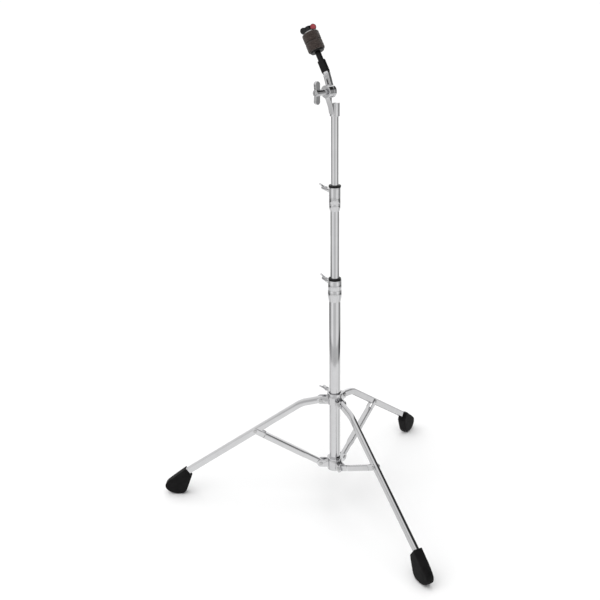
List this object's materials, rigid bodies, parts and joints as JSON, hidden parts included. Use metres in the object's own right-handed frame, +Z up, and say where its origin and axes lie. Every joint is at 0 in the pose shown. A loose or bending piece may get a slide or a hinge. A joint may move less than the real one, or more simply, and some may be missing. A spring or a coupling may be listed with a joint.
{
  "type": "cymbal stand",
  "caption": "Straight telescoping cymbal stand on a folding single-braced tripod, with wing-screw clamps, a tilter, and a felt-padded post with a wing nut.",
  "frame": {"origin": "on the tubes' common axis, at floor level", "axes": "+Z up along the tubes; -X along the left leg; the other two legs point 60 degrees to each side of +X"},
  "size_m": [0.6121, 0.7068, 1.0694],
  "materials": {
    "chrome_tube": "bright chrome plate",
    "chrome_cast": "chrome plate on a casting",
    "steel_fastener": "plated steel",
    "black_nylon": "moulded nylon",
    "brass_shoe": "plain",
    "black_rubber": "moulded rubber",
    "felt": "dense wool felt",
    "black_gloss": "glossy moulding",
    "red_inlay": "glossy moulding"
  },
  "bodies": {
    "base": {"base_tube": "chrome_tube", "tube_end_plug": "black_nylon", "leg_bracket": "chrome_cast", "bracket_pin": "steel_fastener", "bracket_rivets": "steel_fastener", "lower_clamp": "chrome_cast", "lower_bush": "black_nylon", "lower_clamp_shoe": "brass_shoe", "lower_clamp_pin": "steel_fastener"},
    "strut_left": {"strut_left": "chrome_tube"},
    "strut_back": {"strut_back": "chrome_tube"},
    "strut_front": {"strut_front": "chrome_tube"},
    "leg_left": {"leg_left": "chrome_tube", "foot_left": "black_rubber", "joint_rivet_left": "steel_fastener"},
    "leg_back": {"leg_back": "chrome_tube", "foot_back": "black_rubber", "joint_rivet_back": "steel_fastener"},
    "leg_front": {"leg_front": "chrome_tube", "foot_front": "black_rubber", "joint_rivet_front": "steel_fastener"},
    "hub": {"leg_hub": "chrome_cast", "hub_liner": "black_nylon", "hub_rivets": "steel_fastener"},
    "hub_screw": {"hub_wing_screw": "chrome_cast"},
    "lower_screw": {"lower_wing_screw": "chrome_cast"},
    "middle_glide": {"middle_tube_glide": "black_nylon"},
    "middle_section": {"middle_tube": "chrome_tube", "upper_clamp": "chrome_cast", "upper_bush": "black_nylon", "upper_clamp_shoe": "brass_shoe", "upper_clamp_pin": "steel_fastener"},
    "upper_screw": {"upper_wing_screw": "chrome_cast"},
    "upper_glide": {"upper_tube_glide": "black_nylon"},
    "upper_section": {"upper_tube": "chrome_tube", "tilter_base": "chrome_cast", "tilter_washer": "steel_fastener", "tilter_bolt": "chrome_cast", "tilter_pin": "steel_fastener"},
    "tilter_nut": {"tilter_wing_nut": "chrome_cast"},
    "arm": {"tilter_arm": "chrome_cast", "cymbal_post": "chrome_cast", "cymbal_sleeve": "black_nylon", "seat_washer": "black_nylon", "lower_felt": "felt", "upper_felt": "felt"},
    "post_washer": {"top_washer": "steel_fastener"},
    "post_nut": {"cymbal_wing_nut": "black_gloss", "nut_inlays": "red_inlay"}
  },
  "joints": [
    {"name": "tripod_fold", "type": "hinge", "parent": "base", "child": "strut_left", "pos_m": [-0.032, 0, 0.087], "axis": [0, 1, 0], "range_deg": [0, 52]},
    {"name": "strut_back_fold", "type": "hinge", "parent": "base", "child": "strut_back", "pos_m": [0.016, 0.02771, 0.087], "axis": [0.866, -0.5, 0], "range_deg": [0, 52]},
    {"name": "strut_front_fold", "type": "hinge", "parent": "base", "child": "strut_front", "pos_m": [0.016, -0.02771, 0.087], "axis": [-0.866, -0.5, 0], "range_deg": [0, 52]},
    {"name": "leg_left_fold", "type": "hinge", "parent": "strut_left", "child": "leg_left", "pos_m": [-0.184, 0, 0.1685], "axis": [0, 1, 0], "range_deg": [-104, 0]},
    {"name": "leg_back_fold", "type": "hinge", "parent": "strut_back", "child": "leg_back", "pos_m": [0.092, 0.15935, 0.1685], "axis": [0.866, -0.5, 0], "range_deg": [-104, 0]},
    {"name": "leg_front_fold", "type": "hinge", "parent": "strut_front", "child": "leg_front", "pos_m": [0.092, -0.15935, 0.1685], "axis": [-0.866, -0.5, 0], "range_deg": [-104, 0]},
    {"name": "hub_level", "type": "hinge", "parent": "leg_left", "child": "hub", "pos_m": [-0.032, 0, 0.25], "axis": [0, 1, 0], "range_deg": [0, 52]},
    {"name": "middle_height", "type": "slide", "parent": "base", "child": "middle_glide", "axis": [0, 0, 1], "range_m": [-0.147, 0.15]},
    {"name": "middle_swivel", "type": "hinge", "parent": "middle_glide", "child": "middle_section", "pos_m": [0, 0, 0.5], "axis": [0, 0, 1], "continuous": true},
    {"name": "upper_height", "type": "slide", "parent": "middle_section", "child": "upper_glide", "axis": [0, 0, 1], "range_m": [-0.14, 0.15]},
    {"name": "upper_swivel", "type": "hinge", "parent": "upper_glide", "child": "upper_section", "pos_m": [0, 0, 0.7], "axis": [0, 0, 1], "continuous": true},
    {"name": "cymbal_tilt", "type": "hinge", "parent": "upper_section", "child": "arm", "pos_m": [-0.00722, -0.0083, 0.9415], "axis": [-0.6561, -0.7547, 0], "range_deg": [-121, 59]},
    {"name": "hub_screw_turn", "type": "hinge", "parent": "hub", "child": "hub_screw", "pos_m": [0, 0, 0.26], "axis": [-0.5, 0.866, 0], "range_deg": [0, 360]},
    {"name": "lower_screw_turn", "type": "hinge", "parent": "base", "child": "lower_screw", "pos_m": [0, 0, 0.527], "axis": [-0.5, 0.866, 0], "range_deg": [0, 360]},
    {"name": "upper_screw_turn", "type": "hinge", "parent": "middle_section", "child": "upper_screw", "pos_m": [0, 0, 0.732], "axis": [-0.5, 0.866, 0], "range_deg": [0, 360]},
    {"name": "tilter_nut_turn", "type": "hinge", "parent": "upper_section", "child": "tilter_nut", "pos_m": [-0.00722, -0.0083, 0.9415], "axis": [-0.6561, -0.7547, 0], "range_deg": [0, 360]},
    {"name": "post_nut_rise", "type": "slide", "parent": "arm", "child": "post_washer", "axis": [-0.3887, 0.3379, 0.8572], "range_m": [0, 0.008]},
    {"name": "post_nut_turn", "type": "hinge", "parent": "post_washer", "child": "post_nut", "pos_m": [-0.01651, -0.00022, 0.97533], "axis": [-0.3887, 0.3379, 0.8572], "range_deg": [0, 2880]}
  ],
  "couplings": [
    {"joint": "strut_back_fold", "follows": "tripod_fold", "ratio": 1},
    {"joint": "strut_front_fold", "follows": "tripod_fold", "ratio": 1},
    {"joint": "leg_left_fold", "follows": "tripod_fold", "ratio": -2},
    {"joint": "leg_back_fold", "follows": "tripod_fold", "ratio": -2},
    {"joint": "leg_front_fold", "follows": "tripod_fold", "ratio": -2},
    {"joint": "hub_level", "follows": "tripod_fold", "ratio": 1},
    {"joint": "post_nut_turn", "follows": "post_nut_rise", "rad_per_m": 6283.2}
  ]
}
